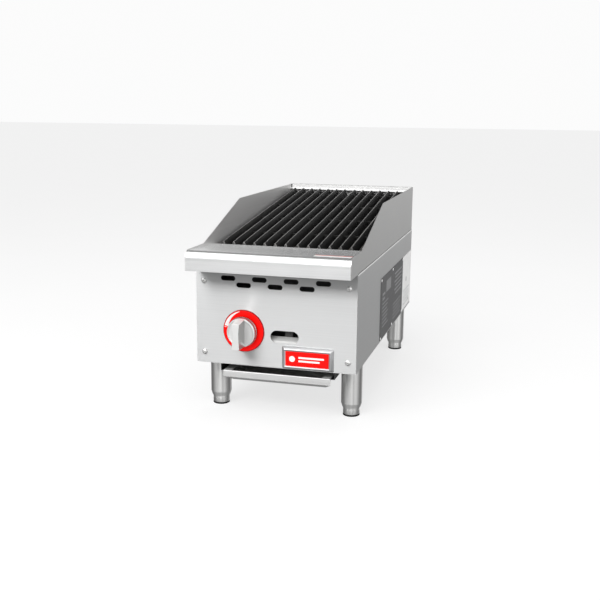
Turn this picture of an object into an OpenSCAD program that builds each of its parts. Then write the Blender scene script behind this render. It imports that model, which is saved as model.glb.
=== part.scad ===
// Countertop gas charbroiler, 12 inch: a stainless casing on four adjustable legs,
// one two-leg tube burner under steel radiants, and two sloping cast iron grates.
// Millimetres, +Z up, the control panel faces -Y, and the origin is on the floor
// under the middle of the whole machine.

/* [Casing] */
// Width over the lower side panels
casing_w = 305; // [300:1:320]
// Depth from the front of the ledge to the rear panel
casing_d = 700; // [690:1:720]
// Gap between the floor and the casing
leg_h = 100.5; // [95:0.5:110]
// Height of the lower casing, from its bottom edge to the seam
body_h = 182.5; // [180:0.5:190]
// Height of the upper casing, from the seam to the top of the splash
top_h = 103; // [100:1:110]
// Thickness of the stainless sheet
sheet = 1.2; // [1:0.1:1.5]
// How far the front ledge stands out in front of the control panel
ledge_out = 54.5; // [50:0.5:60]
// How far the gas inlet stands out behind the rear panel
inlet_out = 25; // [22:1:30]

/* [Splash and ledge] */
// Height of the ledge's side edges above the seam
ledge_h = 37; // [34:1:40]
// Radius of the ledge's rounded front edge
ledge_r = 14; // [10:1:16]
// Where the ledge ends, behind the control panel
ledge_end = 90; // [85:1:92]
// Where the side splash starts to rise, behind the control panel
rise_start = 35; // [20:1:50]
// Where the side splash reaches its full height, behind the control panel
rise_end = 240; // [200:1:280]

/* [Grates] */
// Distance between two bars
bar_pitch = 21; // [20:0.5:21]
// Bars in one grate
bar_count = 7; // [6:1:7]
// Length of a grate along its slope
grate_l = 521; // [515:1:521]
// Slope of the grates in degrees
grate_slope = 6.9; // [6:0.1:6.9]
// Width of a bar's top edge
bar_top = 4.8; // [3:0.2:6]
// Width of a bar's foot
bar_foot = 13; // [10:0.5:14]
// Height of a bar
bar_h = 17; // [14:0.5:17]
// Distance between the cross ribs under the bars
rib_pitch = 127; // [120:1:130]

/* [Controls] */
// Knob axis, to the left of the middle
knob_x = -60; // [-62:1:-58]
// Height of the knob axis
knob_z = 166.5; // [165:0.5:168]
// Knob diameter
knob_d = 56; // [50:1:60]
// Diameter of the ring behind the knob
bezel_d = 79.5; // [76:0.5:84]
// Width of a vent slot
vent_w = 28; // [24:1:32]
// Height of a vent slot
vent_h = 9.4; // [8:0.2:10]
// Width of the lighting port
port_w = 53.6; // [48:0.2:56]
// Height of the lighting port
port_h = 23.2; // [20:0.2:25]

/* [Legs] */
// Diameter of a leg tube
leg_d = 40; // [36:1:40]
// Diameter of a screw-in foot
foot_d = 32; // [30:1:32]
// Distance of each leg from the middle
leg_x = 131; // [130:0.5:132]
// Front legs, behind the control panel
leg_front = 69.8; // [60:0.1:80]
// Rear legs, behind the control panel
leg_rear = 572.3; // [560:0.1:580]

/* [Gas train] */
// Outside radius of the three-quarter inch pipe
pipe_r = 13.35; // [13.3:0.05:13.4]
// Height of the manifold pipe
pipe_z = 138.5; // [138:0.1:139]
// Radius of a burner tube
burner_r = 19; // [17:0.5:20]

/* [Hidden] */
$fn = 64;

panel_y = -(casing_d + inlet_out) / 2 + ledge_out;
rear = casing_d - ledge_out;              // rear of the casing, behind the control panel
half_w = casing_w / 2;
body_in = half_w - sheet;                 // inner face of a lower side panel
splash_out = half_w - 0.8;                // outer face of an upper side
splash_in = splash_out - sheet;
seam_z = leg_h + body_h;
top_z = seam_z + top_h;
ledge_z = seam_z + ledge_h;
floor_z = leg_h + sheet;                  // top of the lower casing's bottom flanges
rail_t = 2;                               // base rail thickness
base_z = floor_z + rail_t;                // top of the base rails
rail_in = 111;                            // inner edge of a base rail
liner_low = 110;                          // liner, half width beside the burner
liner_high = 147;                         // liner, half width under the grates
liner_bend = [leg_h + 64, leg_h + 104];   // where a liner slopes outwards
liner_top = seam_z + 7;
flange = 12;                              // folded edge of a casing panel
running = 0.06;                           // radial clearance of a part that turns or slides in a hole
steel = "silver";
inner_steel = "darkgray";
iron = [0.16, 0.16, 0.17];
brass = [0.78, 0.62, 0.3];

baffle_front = 86;                        // front baffle, behind the control panel
baffle_rear = 610;
pipe_y = 30;                              // manifold pipe, behind the control panel
supply_x = 131.5;
pilot_x = 21;
thread_l = 18;                            // free threaded end of the gas inlet
screw_x = 137.3;
screw_z = [leg_h + 20.7, leg_h + 156.3];
rear_screw_x = 143;
rear_screw_z = [leg_h + 10, leg_h + 157.7];
inlet_hole = 17.5;                        // radius of the hole around the gas inlet
tray_wall = 89;                           // drip tray, half width inside its flanges
tray_edge = 103.5;                        // drip tray, half width over its flanges
tray_low = 62.5;
tray_knee = 73;                           // where the tray's front lip folds back
tray_rim = 85.7;
tray_y0 = 7;                              // front edge of the tray's rim
tray_y1 = 28;                             // front edge of the tray's bottom
tray_end = 590;

// A point's Y from its distance behind the control panel.
function at(d) = panel_y + d;
function arc(c, r, a0, a1, n) = [for (i = [0:n]) let (a = a0 + (a1 - a0) * i / n) c + r * [cos(a), sin(a)]];
function left_normal(a, b) = let (u = (b - a) / norm(b - a)) [-u[1], u[0]];
function offset_path(p, t) = [for (i = [0:len(p) - 1])
    let (a = left_normal(p[max(i - 1, 0)], p[max(i, 1)]),
         b = left_normal(p[min(i, len(p) - 2)], p[min(i + 1, len(p) - 1)]))
    p[i] + t * (a + b) / (1 + a * b)];
function back(p) = [for (i = [len(p) - 1:-1:0]) p[i]];

// Folded sheet in section: the path is one face, and t is the thickness to its left.
module strip(path, t) polygon(concat(path, back(offset_path(path, t))));
// A section in (Y, Z) drawn out along X, and one in (X, Z) drawn out along Y.
module along_x(x0, x1) translate([x0, 0, 0]) rotate([90, 0, 90]) linear_extrude(x1 - x0) children();
module along_y(d0, d1) translate([0, at(d1), 0]) rotate([90, 0, 0]) linear_extrude(d1 - d0) children();
// A block between two corners, each given as [x, distance behind the panel, z].
module block(a, b) translate([a[0], at(a[1]), a[2]]) cube(b - a);
module rod_x(x0, x1, d, z, r) translate([x0, at(d), z]) rotate([0, 90, 0]) cylinder(h = x1 - x0, r = r);
module rod_y(x, d0, d1, z, r) translate([x, at(d0), z]) rotate([-90, 0, 0]) cylinder(h = d1 - d0, r = r);
module rod_z(x, d, z0, z1, r) translate([x, at(d), z0]) cylinder(h = z1 - z0, r = r);
module mirrored(side) if (side < 0) mirror([1, 0, 0]) children(); else children();
// A slot with round ends, cut through a panel that faces the front.
module slot_cut(x, z, w, h, d0, d1) {
    block([x - (w - h) / 2, d0, z - h / 2], [x + (w - h) / 2, d1, z + h / 2]);
    for (s = [-1, 1]) rod_y(x + s * (w - h) / 2, d0, d1, z, h / 2);
}

// ---- lower casing ----
module front_panel() color(steel) difference() {
    fold = half_w - flange - 2;
    union() {
        block([-half_w, 0, leg_h], [half_w, sheet, seam_z - 0.4]);
        block([-fold, sheet, leg_h], [fold, flange, leg_h + sheet]);
        block([-fold, sheet, seam_z - 0.4 - sheet], [fold, flange, seam_z - 0.4]);
    }
    for (k = [-1.5:1:1.5]) slot_cut(k * 60, seam_z - 19.5, vent_w, vent_h, -1, 2);
    for (k = [-1:1:1]) slot_cut(k * 60, seam_z - 31.2, vent_w, vent_h, -1, 2);
    slot_cut(18.4, leg_h + 59.3, port_w, port_h, -1, 2);
    rod_y(knob_x, -1, 2, knob_z, 9);
    screw_holes(-1, 2);
}
module screw_holes(d0, d1) for (x = [-screw_x, screw_x], z = screw_z) rod_y(x, d0, d1, z, 2.6);

// The right-hand panel, mirrored for the left.
module side_panel(side) color(steel) mirrored(side) difference() {
    inner = body_in - flange;
    union() {
        block([body_in, sheet, leg_h], [half_w, rear, seam_z]);
        block([inner, 2 * sheet, leg_h], [body_in, rear - 3, floor_z]);
        block([liner_high + 0.2, flange + 1, seam_z - sheet], [body_in, rear - 3, seam_z]);
        block([128, sheet, leg_h + 8], [body_in, 2 * sheet, seam_z - 8]);
        block([135, rear - 2 * sheet, leg_h + 8], [body_in, rear - sheet, seam_z - 8]);
    }
    for (z = screw_z) rod_y(screw_x, 0, 3, z, 2.6);
    for (z = rear_screw_z) rod_y(rear_screw_x, rear - 3, rear, z, 2.6);
    if (side > 0) {
        rod_y(supply_x, rear - 3, rear, pipe_z, inlet_hole);
        for (p = rivet_spots) rod_x(body_in - 1, half_w + 1, p[0], p[1], 1.7);
    }
}
module rear_panel() color(steel) difference() {
    w = body_in - 0.1;
    block([-w, rear - sheet, leg_h], [w, rear, seam_z]);
    rod_y(supply_x, rear - 2, rear + 1, pipe_z, inlet_hole);
    for (s = [-1, 1], z = rear_screw_z) rod_y(s * rear_screw_x, rear - 2, rear + 1, z, 2.6);
    for (k = [-3:1:3]) slot_cut(k * 32, seam_z - 22, 22, 6, rear - 2, rear + 1);
}

// ---- upper casing ----
splash_outline = concat([[at(-ledge_out), seam_z]],
    arc([at(-ledge_out) + ledge_r, ledge_z - ledge_r], ledge_r, 180, 90, 10),
    [[at(rise_start), ledge_z], [at(rise_end), top_z], [at(rear), top_z], [at(rear), seam_z]]);
module splash(side) color(steel) mirrored(side)
    along_x(splash_in, splash_out) polygon(splash_outline);
module rear_splash() color(steel) along_x(-splash_in, splash_in) strip([
    [at(rear), seam_z], [at(rear), top_z], [at(rear - 14.5), top_z], [at(rear - 14.5), top_z - 7.5],
    [at(rear - 18), top_z - 11.5]], sheet);
ledge_path = concat([[at(-38), seam_z], [at(-ledge_out), seam_z]],
    arc([at(-ledge_out) + ledge_r, ledge_z - 0.5 - ledge_r], ledge_r, 180, 94, 12),
    [[at(ledge_end), ledge_z - 8], [at(ledge_end), ledge_z - 28]]);
module front_ledge() color(steel) along_x(-splash_in, splash_in) strip(ledge_path, -sheet);

// ---- base ----
leg_spots = [[-1, leg_front], [1, leg_front], [-1, leg_rear], [1, leg_rear]];
module base_rail(side) color(inner_steel) mirrored(side) difference() {
    union() {
        block([rail_in, flange + 2, floor_z], [body_in - 0.4, rear - 3, base_z]);
        block([rail_in, baffle_front + 3, base_z], [rail_in + rail_t, baffle_rear - 3, base_z + 16]);
    }
    for (d = [leg_front, leg_rear]) rod_z(leg_x, d, floor_z - 1, base_z + 1, 5.5);
}
module base_cross_rails() color(inner_steel) for (d = [flange + 2, baffle_rear + 5]) {
    w = rail_in - 0.1;
    block([-w, d, floor_z], [w, d + 26, base_z]);
    block([-w, d, base_z], [w, d + rail_t, base_z + 16]);
}

// ---- firebox ----
module liner(side) color(inner_steel) mirrored(side) along_y(baffle_front + sheet, baffle_rear)
    strip([[liner_low, base_z], [liner_low, liner_bend[0]], [liner_high, liner_bend[1]],
        [liner_high, liner_top], [splash_in, liner_top]], sheet);
module front_baffle() color(inner_steel) difference() {
    d1 = baffle_front + sheet;
    block([-liner_high, baffle_front, base_z], [liner_high, d1, ledge_z - 10]);
    rod_y(knob_x, baffle_front - 1, d1 + 1, knob_z, 15);
    rod_y(supply_x, baffle_front - 1, d1 + 1, pipe_z, 14.5);
    block([-4, baffle_front - 1, leg_h + 45], [46, d1 + 1, leg_h + 90]);
}
module rear_baffle() color(inner_steel) difference() {
    d1 = baffle_rear + sheet;
    block([-liner_high, baffle_rear, base_z], [liner_high, d1, liner_top]);
    rod_y(supply_x, baffle_rear - 1, d1 + 1, pipe_z, 14.5);
}
module front_grate_rest() color(inner_steel) along_x(-splash_in, splash_in)
    strip([[at(93), liner_top + sheet + 0.1], [at(93), grate_low], [at(116), grate_low]], -3);
module rear_grate_rest() color(inner_steel) along_x(-splash_in, splash_in)
    strip([[at(616), liner_top], [at(616), grate_high], [at(598), grate_high]], 3);

// ---- grates ----
grate_y = 104;                            // front end of the grates, behind the control panel
grate_z = ledge_z - 4.8;                  // height of the bars' top edge at that end
grate_low = grate_z - bar_h * cos(grate_slope) - 0.4;
// Underside of the sloping grates above the rear rest, less a small clearance.
grate_high = grate_z - bar_h / cos(grate_slope) + (598 - grate_y) * tan(grate_slope) - 0.5;
grate_x = bar_pitch * bar_count / 2 + 1.5;
bar_section = [[-bar_top / 2, 0], [bar_top / 2, 0], [bar_foot / 2, 2.5 - bar_h], [bar_foot / 2, -bar_h],
    [bar_foot / 4, -bar_h], [0, 4 - bar_h], [-bar_foot / 4, -bar_h], [-bar_foot / 2, -bar_h],
    [-bar_foot / 2, 2.5 - bar_h]];
module grate(side) color(iron)
    translate([side * grate_x, at(grate_y), grate_z]) rotate([grate_slope, 0, 0]) {
        span = bar_pitch * (bar_count - 1) / 2;
        for (k = [0:bar_count - 1]) translate([k * bar_pitch - span, grate_l, 0])
            rotate([90, 0, 0]) linear_extrude(grate_l) polygon(bar_section);
        for (y = [for (k = [0:3]) 106 + k * rib_pitch]) grate_rib(span, y, -7);
        for (y = [0, grate_l - 6]) grate_rib(span, y, -9);
    }
module grate_rib(span, y, top) translate([-span, y, 1 - bar_h]) cube([2 * span, 6, top - 1 + bar_h]);

// ---- burner and radiants ----
radiant_z = leg_h + 96;                   // top of the radiant rests
radiant_x = 62;
module radiant(side) color(inner_steel) difference() {
    translate([side * radiant_x, 0, 0]) along_y(118, 596)
        strip([[-58, radiant_z + 1.1], [-24, radiant_z + 38], [24, radiant_z + 38], [58, radiant_z + 1.1]], -1.5);
    for (k = [0:8], x = [-14, 14])
        rod_z(side * radiant_x + x, 150 + k * 52, radiant_z + 30, radiant_z + 42, 5);
}
rest_half = liner_low - 1.8 + (liner_high - liner_low) * (radiant_z - 3 - liner_bend[0]) / (liner_bend[1] - liner_bend[0]);
module radiant_rests() color(inner_steel) for (end = [[112, 112], [584, 599.5]]) {
    block([-rest_half, end[0], radiant_z - 3], [rest_half, end[0] + 18, radiant_z]);
    block([-130, end[1], radiant_z], [130, end[1] + 2.5, radiant_z + 15]);
}
port_rows = [-38, 38];                    // rows of flame ports, in degrees from straight up
module burner_ports(x) for (k = [0:15], a = port_rows)
    translate([x, at(150 + k * 26), knob_z]) rotate([0, a, 0]) cylinder(h = burner_r + 2, r = 2);
// Outline of a tube's outside, from its open or closed front to its closed rear.
module burner_tube(x, outline) color("dimgray") difference() {
    translate([x, at(0), knob_z]) rotate([-90, 0, 0]) rotate_extrude() polygon(outline);
    burner_ports(x);
}
tube_rear = 572;
mouth_r = 21.5;                           // air mouth of the left tube
wall = 1.5;
module burner_left_tube() burner_tube(knob_x, [[mouth_r, 67], [mouth_r, 78], [12.5, 88], [12.5, 104], [burner_r, 124],
    [burner_r, tube_rear], [0, tube_rear], [0, tube_rear - wall], [burner_r - wall, tube_rear - wall],
    [burner_r - wall, 125], [11, 105], [11, 87.5], [mouth_r - wall, 77.3], [mouth_r - wall, 67]]);
module burner_right_tube() burner_tube(-knob_x, [[0, 124], [burner_r, 124], [burner_r, tube_rear], [0, tube_rear],
    [0, tube_rear - wall], [burner_r - wall, tube_rear - wall], [burner_r - wall, 124 + wall], [0, 124 + wall]]);
module burner_crossover() color("dimgray") difference() {
    rod_x(knob_x, -knob_x, 548, knob_z, 13);
    rod_x(knob_x - 1, 1 - knob_x, 548, knob_z, 11.5);
    for (x = [knob_x, -knob_x]) rod_y(x, 520, 580, knob_z, burner_r);
}
module air_shutter() color("gainsboro") difference() {
    rod_y(knob_x, 63, 76, knob_z, mouth_r + 1.5);
    rod_y(knob_x, 64.2, 77, knob_z, mouth_r + running);
    rod_y(knob_x, 62, 65, knob_z, 9);
    for (a = [0:90:270]) translate([knob_x, at(62), knob_z]) rotate([-90, 0, 0]) rotate([0, 0, a])
        translate([11, -4, 0]) cube([8.5, 8, 4]);
}

// ---- gas train ----
module manifold_pipe() color("dimgray") difference() {
    rod_x(knob_x - 36, supply_x - 19, pipe_y, pipe_z, pipe_r);
    rod_x(knob_x - 32, supply_x, pipe_y, pipe_z, pipe_r - 2.9);
}
module manifold_elbow() color("dimgray") difference() {
    r = pipe_r + 3.2;
    union() {
        translate([supply_x, at(pipe_y), pipe_z]) sphere(r = r);
        rod_x(supply_x - 26, supply_x, pipe_y, pipe_z, r - 0.1);
        rod_y(supply_x, pipe_y, pipe_y + 26, pipe_z, r - 0.1);
    }
    rod_x(supply_x - 27, supply_x - 19, pipe_y, pipe_z, pipe_r);
    rod_y(supply_x, pipe_y + 19, pipe_y + 27, pipe_z, pipe_r);
    rod_x(supply_x - 20, supply_x, pipe_y, pipe_z, 10);
    rod_y(supply_x, pipe_y, pipe_y + 20, pipe_z, 10);
}
module supply_pipe() color("dimgray") difference() {
    rod_y(supply_x, pipe_y + 19, rear - 6, pipe_z, pipe_r);
    rod_y(supply_x, pipe_y + 18, rear - 5, pipe_z, pipe_r - 2.9);
}
module gas_inlet() color("dimgray") difference() {
    union() {
        rod_y(supply_x, rear - 6, rear + inlet_out - thread_l, pipe_z, 17);
        rod_y(supply_x, rear, rear + inlet_out, pipe_z, pipe_r);
    }
    rod_y(supply_x, rear - 7, rear + inlet_out + 1, pipe_z, pipe_r - 2.9);
}
stem_r = 4;
module gas_valve() color(brass) difference() {
    union() {
        block([knob_x - 13, 14, knob_z - 12], [knob_x + 13, 46, knob_z + 13]);
        rod_y(knob_x, 2, 14, knob_z, 8);
        rod_y(knob_x, 46, 52, knob_z, 9);
        rod_z(knob_x, pipe_y, pipe_z, knob_z - 12, 7);
    }
    rod_y(knob_x, 1, 34, knob_z, stem_r + running);
    rod_y(knob_x, 38, 53, knob_z, 3);
    rod_x(knob_x - 20, knob_x + 20, pipe_y, pipe_z, pipe_r);
}
module orifice_spud() color(brass) difference() {
    translate([knob_x, at(0), knob_z]) rotate([-90, 0, 0]) {
        translate([0, 0, 52]) cylinder(h = 8, r = 7.5, $fn = 6);
        translate([0, 0, 60]) cylinder(h = 8, r1 = 5, r2 = 3.5);
    }
    rod_y(knob_x, 51, 69, knob_z, 1);
}
module valve_stem() color("silver") rod_y(knob_x, -14, 33.5, knob_z, stem_r);
// The grip narrows towards the front and spans the whole face, standing upright at off.
module knob() color("gainsboro") difference() {
    r = knob_d / 2;
    union() {
        translate([knob_x, at(-4.5), knob_z]) rotate([90, 0, 0]) cylinder(h = 15, r1 = r, r2 = r - 1);
        intersection() {
            along_x(knob_x - 7.5, knob_x + 7.5) polygon([[at(-19), knob_z - r + 1], [at(-42), knob_z - r + 2],
                [at(-47.5), knob_z - r + 5], [at(-47.5), knob_z + r - 9], [at(-19), knob_z + r - 1]]);
            rod_y(knob_x, -48, -19, knob_z, r - 1.2);
        }
    }
    rod_y(knob_x, -14, -4, knob_z, stem_r);
}
module knob_bezel() color("red") difference() {
    translate([knob_x, at(0), knob_z]) rotate([90, 0, 0]) cylinder(h = 3, r1 = bezel_d / 2, r2 = bezel_d / 2 - 0.8);
    rod_y(knob_x, -4, 1, knob_z, 12);
}
module pilot_valve() color(brass) difference() {
    union() {
        rod_z(pilot_x, pipe_y, pipe_z, pipe_z + pipe_r + 4, 5);
        block([pilot_x - 7, pipe_y - 9, pipe_z + pipe_r + 3], [pilot_x + 7, pipe_y + 8, pipe_z + pipe_r + 15]);
    }
    rod_x(pilot_x - 20, pilot_x + 20, pipe_y, pipe_z, pipe_r);
    rod_y(pilot_x, pipe_y - 10, pipe_y - 3, pipe_z + pipe_r + 9, 3 + running);
}
module pilot_screw() color("silver") difference() {
    rod_y(pilot_x, pipe_y - 12, pipe_y - 3.4, pipe_z + pipe_r + 9, 3);
    block([pilot_x - 4, pipe_y - 13, pipe_z + pipe_r + 8.5], [pilot_x + 4, pipe_y - 11, pipe_z + pipe_r + 9.5]);
}
pilot_z = pipe_z + pipe_r + 15;           // top of the pilot valve, where its tube starts
module pilot_tube() color("silver") {
    rod_z(pilot_x, pipe_y, pilot_z, pilot_z + 12, 2.5);
    translate([pilot_x, at(pipe_y), pilot_z + 12]) sphere(r = 2.5);
    rod_y(pilot_x, pipe_y, 100, pilot_z + 12, 2.4);
}
module pilot_burner() color("silver") {
    rod_y(pilot_x, 100, 118, pilot_z + 12, 5);
    block([pilot_x - 1.5, 106, pilot_z + 16], [pilot_x + 1.5, 116, pilot_z + 26]);
    block([pilot_x - 9, 104, pilot_z + 4], [pilot_x + 9, 106, pilot_z + 24]);
}

// A bent sheet behind the lighting port: it stands on the bottom flange of the control
// panel and slopes back over the manifold pipe.
module port_shield() color(inner_steel) along_x(-13, 52)
    strip([[at(3.2), floor_z + 0.1], [at(3.2), 147.5], [at(7), 150.5], [at(20), 155.8]], -1);

// ---- drip tray ----
module tray_rails() color(inner_steel) for (side = [-1, 1]) mirrored(side) along_y(flange + 1, 612)
    strip([[124, leg_h], [rail_in - 0.6, leg_h], [rail_in - 0.6, tray_rim - 2.7], [92, tray_rim - 2.7]], -sheet);
tray_path = [[at(60), tray_low], [at(tray_y1), tray_low], [at(tray_y0), tray_knee], [at(tray_y0), tray_rim]];
module drip_tray() color(steel) {
    difference() {
        along_x(-tray_wall, tray_wall)
            polygon(concat(tray_path, [[at(tray_end), tray_rim], [at(tray_end), tray_low]]));
        along_x(sheet - tray_wall, tray_wall - sheet)
            polygon(concat(offset_path(tray_path, -sheet),
                [[at(tray_y0 + sheet), tray_rim + 1], [at(tray_end - sheet), tray_rim + 1],
                [at(tray_end - sheet), tray_low + sheet]]));
    }
    for (s = [-1, 1]) mirrored(s)
        block([tray_wall - 1, tray_y0 + 1, tray_rim - sheet], [tray_edge, tray_end, tray_rim]);
    // The front lip is as wide as the flanges, and cut back at its lower corners.
    intersection() {
        along_x(-tray_edge, tray_edge) strip(tray_path, -sheet);
        along_y(0, tray_y1) polygon([[-tray_wall, tray_low - 1], [tray_wall, tray_low - 1], [tray_edge, tray_knee],
            [tray_edge, tray_rim], [-tray_edge, tray_rim], [-tray_edge, tray_knee]]);
    }
}

// ---- legs ----
neck_z = 17;                              // lower end of a leg tube
foot_r = foot_d / 2 - 0.1;
module leg(spot) color(steel) translate([spot[0] * leg_x, at(spot[1]), 0]) {
    r = leg_d / 2;
    neck = foot_r + 1.5;
    bore = foot_r + running;
    rotate_extrude() polygon([[neck, neck_z], [r, neck_z + 8], [r, leg_h], [0, leg_h], [0, leg_h - 3],
        [r - 1.5, leg_h - 3], [r - 1.5, neck_z + 12], [bore, neck_z + 12], [bore, neck_z]]);
    translate([0, 0, leg_h - 1]) cylinder(h = 15, r = 5);
}
module foot(spot) color("lightgray") rod_z(spot[0] * leg_x, spot[1], 3, 48, foot_r);
module pad(spot) color("black") rod_z(spot[0] * leg_x, spot[1], 0, 3, foot_d / 2);
module leg_nuts() color("silver") for (s = leg_spots) translate([s[0] * leg_x, at(s[1]), base_z]) difference() {
    cylinder(h = 8, r = 9, $fn = 6);
    translate([0, 0, -1]) cylinder(h = 10, r = 5.05);
}

// ---- fasteners, badge and plate ----
module screw(x, z, face, dir) translate([x, at(face), z]) rotate([dir * 90, 0, 0]) {
    cylinder(h = 1.2, r = 5.2);
    translate([0, 0, 1.2]) cylinder(h = 2, r1 = 5.2, r2 = 3.4);
    translate([0, 0, -7]) cylinder(h = 7.5, r = 2.4);
}
module panel_screws() color("silver") for (s = [-1, 1]) {
    for (z = screw_z) screw(s * screw_x, z, 0, 1);
    for (z = rear_screw_z) screw(s * rear_screw_x, z, rear, -1);
}
badge = [[14.3, leg_h + 1.8], [111.3, leg_h + 43.8]];    // lower left and upper right corners
inlay = [[21.9, leg_h + 7.5], [102.7, leg_h + 34.7]];
module badge_frame() color("silver") difference() {
    block([badge[0][0], -6.5, badge[0][1]], [badge[1][0], 0, badge[1][1]]);
    block([inlay[0][0], -7, inlay[0][1]], [inlay[1][0], -3.4, inlay[1][1]]);
}
module badge_inlay() color("red")
    block([inlay[0][0], -5, inlay[0][1]], [inlay[1][0], -3.4, inlay[1][1]]);
plate_y = [233, 514];
plate_z = [leg_h + 3.5, leg_h + 133];
rivet_spots = [for (y = [plate_y[0] + 4, 374, plate_y[1] - 4], z = [plate_z[0] + 4, plate_z[1] - 4]) [y, z]];
module rating_plate() color("gray") difference() {
    block([half_w, plate_y[0], plate_z[0]], [half_w + 1, plate_y[1], plate_z[1]]);
    for (p = rivet_spots) rod_x(half_w - 1, half_w + 2, p[0], p[1], 1.7);
}
module plate_rivets() color("white") for (p = rivet_spots) {
    rod_x(body_in - 1.5, half_w + 1, p[0], p[1], 1.6);
    rod_x(half_w + 1, half_w + 2.2, p[0], p[1], 3);
}

front_panel();
side_panel(-1);  // left_side_panel
side_panel(1);  // right_side_panel
rear_panel();
splash(-1);  // left_splash
splash(1);  // right_splash
rear_splash();
front_ledge();
base_rail(-1);  // left_base_rail
base_rail(1);  // right_base_rail
base_cross_rails();
liner(-1);  // left_liner
liner(1);  // right_liner
front_baffle();
rear_baffle();
front_grate_rest();
rear_grate_rest();
grate(-1);  // left_grate
grate(1);  // right_grate
radiant(-1);  // left_radiant
radiant(1);  // right_radiant
radiant_rests();
burner_left_tube();
burner_right_tube();
burner_crossover();
air_shutter();
orifice_spud();
gas_valve();
valve_stem();
knob();
knob_bezel();
manifold_pipe();
manifold_elbow();
supply_pipe();
gas_inlet();
pilot_valve();
pilot_screw();
pilot_tube();
pilot_burner();
port_shield();
tray_rails();
drip_tray();
leg(leg_spots[0]);  // leg_front_left
leg(leg_spots[1]);  // leg_front_right
leg(leg_spots[2]);  // leg_rear_left
leg(leg_spots[3]);  // leg_rear_right
foot(leg_spots[0]);  // foot_front_left
foot(leg_spots[1]);  // foot_front_right
foot(leg_spots[2]);  // foot_rear_left
foot(leg_spots[3]);  // foot_rear_right
pad(leg_spots[0]);  // pad_front_left
pad(leg_spots[1]);  // pad_front_right
pad(leg_spots[2]);  // pad_rear_left
pad(leg_spots[3]);  // pad_rear_right
leg_nuts();
panel_screws();
badge_frame();
badge_inlay();
rating_plate();
plate_rivets();
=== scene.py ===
"""Looks of a countertop gas charbroiler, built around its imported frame. Every length is in metres."""
import math

import bmesh
import bpy
from mathutils import Matrix, Vector


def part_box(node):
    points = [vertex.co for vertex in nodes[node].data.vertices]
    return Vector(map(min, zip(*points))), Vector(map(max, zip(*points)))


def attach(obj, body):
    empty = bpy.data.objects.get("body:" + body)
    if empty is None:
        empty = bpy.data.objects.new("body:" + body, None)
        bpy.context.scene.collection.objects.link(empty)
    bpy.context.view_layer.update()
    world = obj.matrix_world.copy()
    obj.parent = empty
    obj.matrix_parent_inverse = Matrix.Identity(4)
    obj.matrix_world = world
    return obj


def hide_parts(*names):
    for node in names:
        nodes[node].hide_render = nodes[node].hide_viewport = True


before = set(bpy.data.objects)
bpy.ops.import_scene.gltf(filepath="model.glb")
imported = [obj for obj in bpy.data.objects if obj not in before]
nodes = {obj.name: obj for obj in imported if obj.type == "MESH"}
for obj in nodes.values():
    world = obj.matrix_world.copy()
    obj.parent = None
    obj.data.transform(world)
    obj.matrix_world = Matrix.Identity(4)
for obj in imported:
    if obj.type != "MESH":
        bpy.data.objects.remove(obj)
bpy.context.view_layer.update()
MM = 0.001
FEET = ("front_left", "front_right", "rear_left", "rear_right")


# ---------------------------------------------------------------- materials
class Look:
    """One material. Its patterns are laid out in the row frame, because every piece keeps that frame."""

    def __init__(self, name, metallic=0.0, **settings):
        self.material = bpy.data.materials.new(name)
        self.material.use_nodes = True
        self.tree = self.material.node_tree
        self.shader = self.tree.nodes["Principled BSDF"]
        self.shader.inputs["Metallic"].default_value = metallic
        for socket, value in settings.items():
            self.shader.inputs[socket.replace("_", " ")].default_value = value
        self.place = self.add("ShaderNodeTexCoord").outputs["Object"]
        self.normal = None

    def add(self, kind, **sockets):
        """A new shader node with its inputs filled: an underscore in a name stands for a space."""
        node = self.tree.nodes.new(kind)
        for socket, value in sockets.items():
            self.feed(node.inputs[socket.replace("_", " ")], value)
        return node

    def feed(self, socket, value):
        """Links a socket to an output, or sets it to a number or colour."""
        if isinstance(value, bpy.types.NodeSocket):
            self.tree.links.new(value, socket)
        else:
            socket.default_value = value

    def noise(self, scale, detail=2.0, stretch=(1, 1, 1), roughness=0.5):
        """Noise from 0 to 1. A large stretch along an axis makes the pattern fine along it."""
        spread = self.add("ShaderNodeMapping", Vector=self.place, Scale=stretch)
        texture = self.add("ShaderNodeTexNoise", Vector=spread.outputs["Vector"], Scale=scale,
                           Detail=detail, Roughness=roughness)
        return texture.outputs["Fac"]

    def remap(self, value, low, high, start=0.3, end=0.7):
        """Stretches the part of value between start and end to run from low to high."""
        node = self.tree.nodes.new("ShaderNodeMapRange")
        for socket, number in (("Value", value), ("From Min", start), ("From Max", end),
                               ("To Min", low), ("To Max", high)):
            self.feed(node.inputs[socket], number)
        return node.outputs["Result"]

    def mix(self, factor, first, second):
        """The first colour where the factor is 0, and the second where it is 1."""
        node = self.tree.nodes.new("ShaderNodeMix")
        node.data_type = "RGBA"
        self.feed(node.inputs["Factor"], factor)
        self.feed(node.inputs["A"], first)
        self.feed(node.inputs["B"], second)
        return node.outputs["Result"]

    def height(self, low, high):
        """0 at the lower height above the floor and 1 at the higher."""
        parts = self.add("ShaderNodeSeparateXYZ", Vector=self.place)
        return self.remap(parts.outputs[2], 0.0, 1.0, low, high)

    def bump(self, pattern, depth):
        """Raises the surface by up to depth where the pattern is 1."""
        node = self.add("ShaderNodeBump", Height=pattern, Distance=depth, Strength=1.0)
        if self.normal is not None:
            self.feed(node.inputs["Normal"], self.normal)
        self.normal = node.outputs["Normal"]

    def finish(self, colour, roughness):
        """Connects the colour, the roughness and the bumps so far, and gives the finished material."""
        self.feed(self.shader.inputs["Base Color"], colour)
        self.feed(self.shader.inputs["Roughness"], roughness)
        if self.normal is not None:
            self.feed(self.shader.inputs["Normal"], self.normal)
        return self.material


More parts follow.
